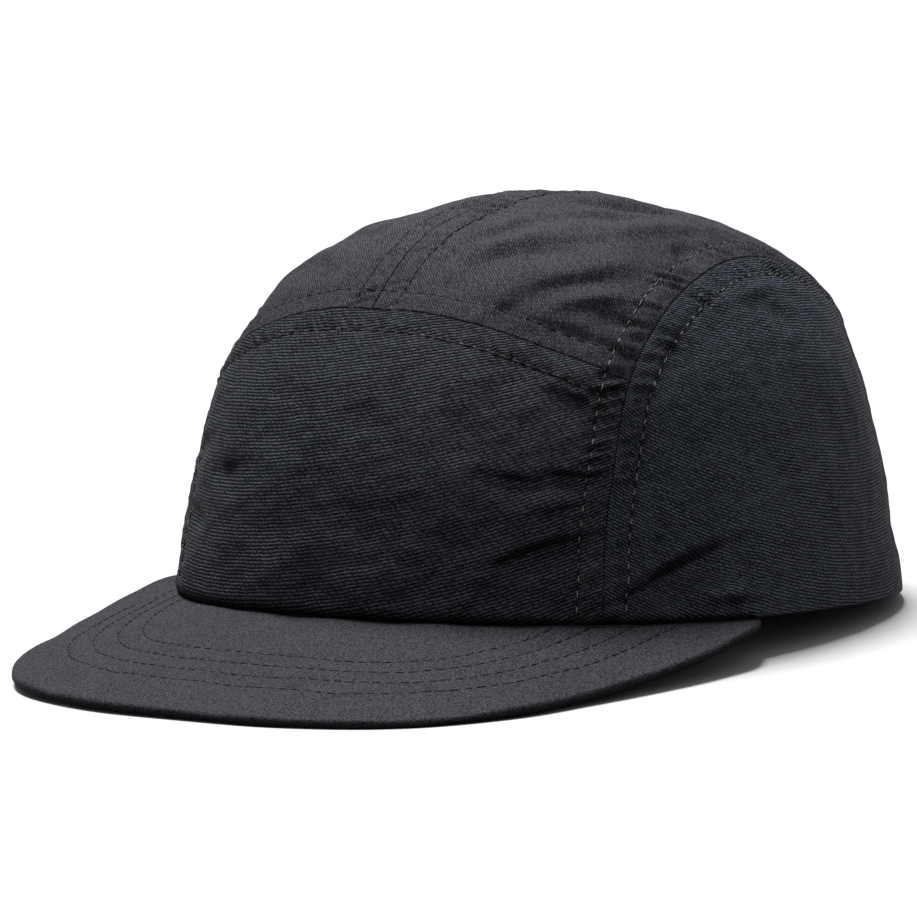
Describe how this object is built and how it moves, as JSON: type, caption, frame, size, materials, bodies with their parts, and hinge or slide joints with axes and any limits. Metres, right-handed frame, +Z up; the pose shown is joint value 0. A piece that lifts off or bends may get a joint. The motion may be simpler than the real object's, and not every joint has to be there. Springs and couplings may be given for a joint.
{
  "type": "peaked cap",
  "caption": "Soft cloth peaked cap with a tall front panel, a low seamed crown, a plain closed back and a flat stitched peak, resting on its peak and back hem.",
  "frame": {"origin": "on the surface that the cap rests on, below the middle of its bounding box", "axes": "+Z up, the peak towards -Y, the wearer's left towards +X"},
  "size_m": [0.187, 0.2479, 0.1116],
  "materials": {
    "panel_cloth": "near-black fine twill with a slight sheen",
    "peak_cloth": "near-black smooth cloth over a stiff board, matt"
  },
  "bodies": {
    "root": {"front_panel": "panel_cloth", "top_panel_left": "panel_cloth", "top_panel_right": "panel_cloth", "side_panel_left": "panel_cloth", "side_panel_right": "panel_cloth", "peak": "peak_cloth"}
  },
  "joints": []
}
